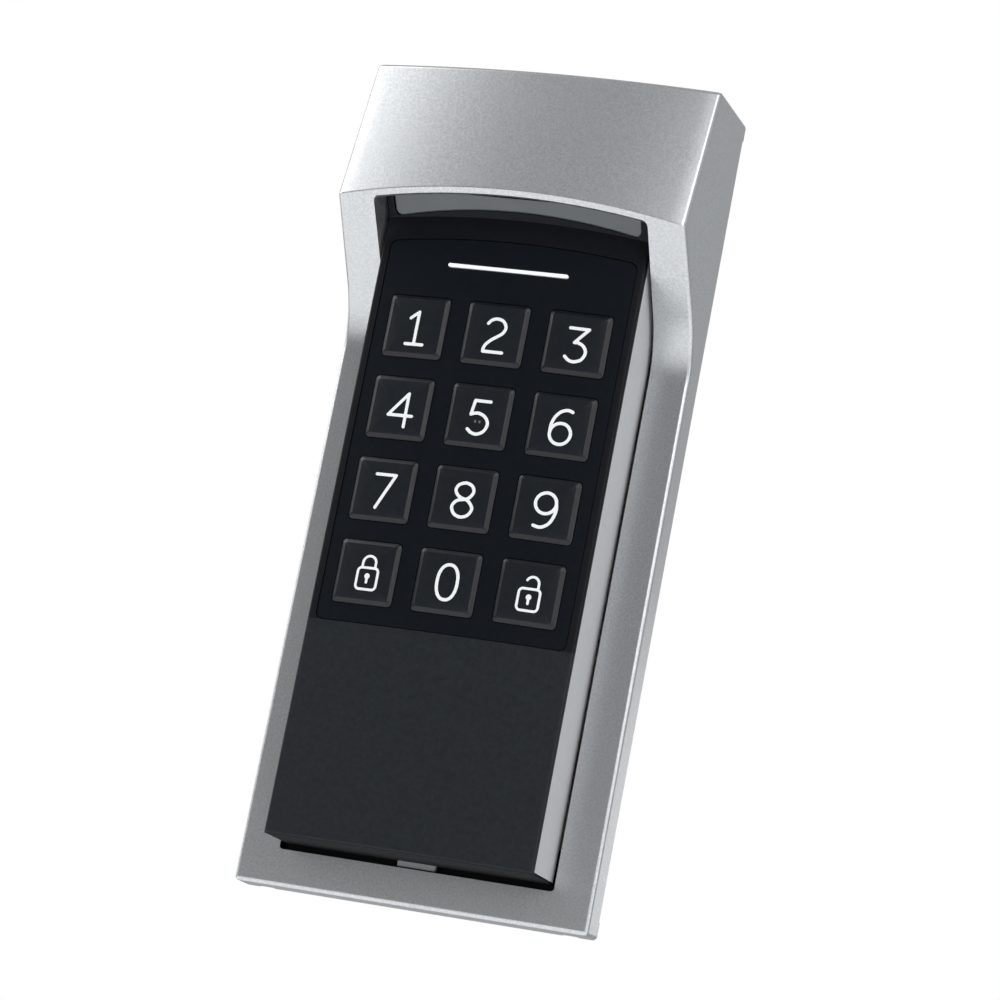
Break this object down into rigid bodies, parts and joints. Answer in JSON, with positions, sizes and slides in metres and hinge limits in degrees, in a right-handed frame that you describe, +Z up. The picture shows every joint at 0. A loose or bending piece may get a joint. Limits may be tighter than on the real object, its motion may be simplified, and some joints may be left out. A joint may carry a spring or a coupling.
{
  "type": "keypad access reader",
  "caption": "Wall reader with a number keypad: silver die-cast frame with a sloping hood around a black swing-out keypad module.",
  "frame": {"origin": "on the wall plate's back face, at half the width and half the height of the frame", "axes": "+X right seen from the front, +Y into the wall, +Z up; the wall plane is y = 0"},
  "size_m": [0.0702, 0.0284, 0.1588],
  "materials": {
    "silver_paint": "satin silver paint over die casting",
    "zinc_steel": "zinc plated",
    "black_rubber": "matt",
    "grey_plastic": "fine satin grain",
    "black_plastic": "fine matt texture",
    "smoked_lens": "polished smoke tint",
    "opal_light_pipe": "opal white",
    "keypad_rubber": "satin coated silicone",
    "key_plastic": "satin",
    "board_laminate": "green solder mask",
    "copper_track": "bare copper",
    "terminal_green": "moulded",
    "chip_epoxy": "matt epoxy",
    "led_resin": "clear resin",
    "dome_steel": "bright spring steel",
    "catch_grey": "satin"
  },
  "bodies": {
    "frame": {"housing_frame": "silver_paint", "wall_plate": "zinc_steel", "cable_grommet": "black_rubber", "frame_screw_1": "zinc_steel", "frame_screw_2": "zinc_steel", "frame_screw_3": "zinc_steel", "frame_screw_4": "zinc_steel"},
    "module": {"module_base": "grey_plastic", "front_cover": "black_plastic", "brow_lens": "smoked_lens", "light_bar": "opal_light_pipe", "keypad_mat": "keypad_rubber", "main_board": "board_laminate", "antenna_board": "board_laminate", "antenna_coil": "copper_track", "bar_led_1": "led_resin", "bar_led_2": "led_resin", "brow_led_1": "led_resin", "brow_led_2": "led_resin", "brow_led_3": "led_resin", "buzzer": "black_plastic", "terminal_block": "terminal_green", "reader_chip": "chip_epoxy", "processor_chip": "chip_epoxy", "tamper_sensor": "chip_epoxy", "module_screw_1": "zinc_steel", "module_screw_2": "zinc_steel", "module_screw_3": "zinc_steel", "module_screw_4": "zinc_steel", "dome_1": "dome_steel", "dome_2": "dome_steel", "dome_3": "dome_steel", "dome_4": "dome_steel", "dome_5": "dome_steel", "dome_6": "dome_steel", "dome_7": "dome_steel", "dome_8": "dome_steel", "dome_9": "dome_steel", "dome_lock": "dome_steel", "dome_0": "dome_steel", "dome_unlock": "dome_steel"},
    "latch": {"release_latch": "catch_grey"},
    "key_1": {"key_1": "key_plastic"},
    "key_2": {"key_2": "key_plastic"},
    "key_3": {"key_3": "key_plastic"},
    "key_4": {"key_4": "key_plastic"},
    "key_5": {"key_5": "key_plastic"},
    "key_6": {"key_6": "key_plastic"},
    "key_7": {"key_7": "key_plastic"},
    "key_8": {"key_8": "key_plastic"},
    "key_9": {"key_9": "key_plastic"},
    "key_lock": {"key_lock": "key_plastic"},
    "key_0": {"key_0": "key_plastic"},
    "key_unlock": {"key_unlock": "key_plastic"}
  },
  "joints": [
    {"name": "module_swing", "type": "hinge", "parent": "frame", "child": "module", "pos_m": [0, -0.0075, 0.0516], "axis": [-1, 0, 0], "range_deg": [0, 20]},
    {"name": "latch_slide", "type": "slide", "parent": "module", "child": "latch", "axis": [0, 0, 1], "range_m": [0, 0.002], "stiffness_N_per_m": 400},
    {"name": "press_1", "type": "slide", "parent": "module", "child": "key_1", "axis": [0, 1, 0], "range_m": [0, 0.0007], "stiffness_N_per_m": 2500},
    {"name": "press_2", "type": "slide", "parent": "module", "child": "key_2", "axis": [0, 1, 0], "range_m": [0, 0.0007], "stiffness_N_per_m": 2500},
    {"name": "press_3", "type": "slide", "parent": "module", "child": "key_3", "axis": [0, 1, 0], "range_m": [0, 0.0007], "stiffness_N_per_m": 2500},
    {"name": "press_4", "type": "slide", "parent": "module", "child": "key_4", "axis": [0, 1, 0], "range_m": [0, 0.0007], "stiffness_N_per_m": 2500},
    {"name": "press_5", "type": "slide", "parent": "module", "child": "key_5", "axis": [0, 1, 0], "range_m": [0, 0.0007], "stiffness_N_per_m": 2500},
    {"name": "press_6", "type": "slide", "parent": "module", "child": "key_6", "axis": [0, 1, 0], "range_m": [0, 0.0007], "stiffness_N_per_m": 2500},
    {"name": "press_7", "type": "slide", "parent": "module", "child": "key_7", "axis": [0, 1, 0], "range_m": [0, 0.0007], "stiffness_N_per_m": 2500},
    {"name": "press_8", "type": "slide", "parent": "module", "child": "key_8", "axis": [0, 1, 0], "range_m": [0, 0.0007], "stiffness_N_per_m": 2500},
    {"name": "press_9", "type": "slide", "parent": "module", "child": "key_9", "axis": [0, 1, 0], "range_m": [0, 0.0007], "stiffness_N_per_m": 2500},
    {"name": "press_lock", "type": "slide", "parent": "module", "child": "key_lock", "axis": [0, 1, 0], "range_m": [0, 0.0007], "stiffness_N_per_m": 2500},
    {"name": "press_0", "type": "slide", "parent": "module", "child": "key_0", "axis": [0, 1, 0], "range_m": [0, 0.0007], "stiffness_N_per_m": 2500},
    {"name": "press_unlock", "type": "slide", "parent": "module", "child": "key_unlock", "axis": [0, 1, 0], "range_m": [0, 0.0007], "stiffness_N_per_m": 2500}
  ]
}
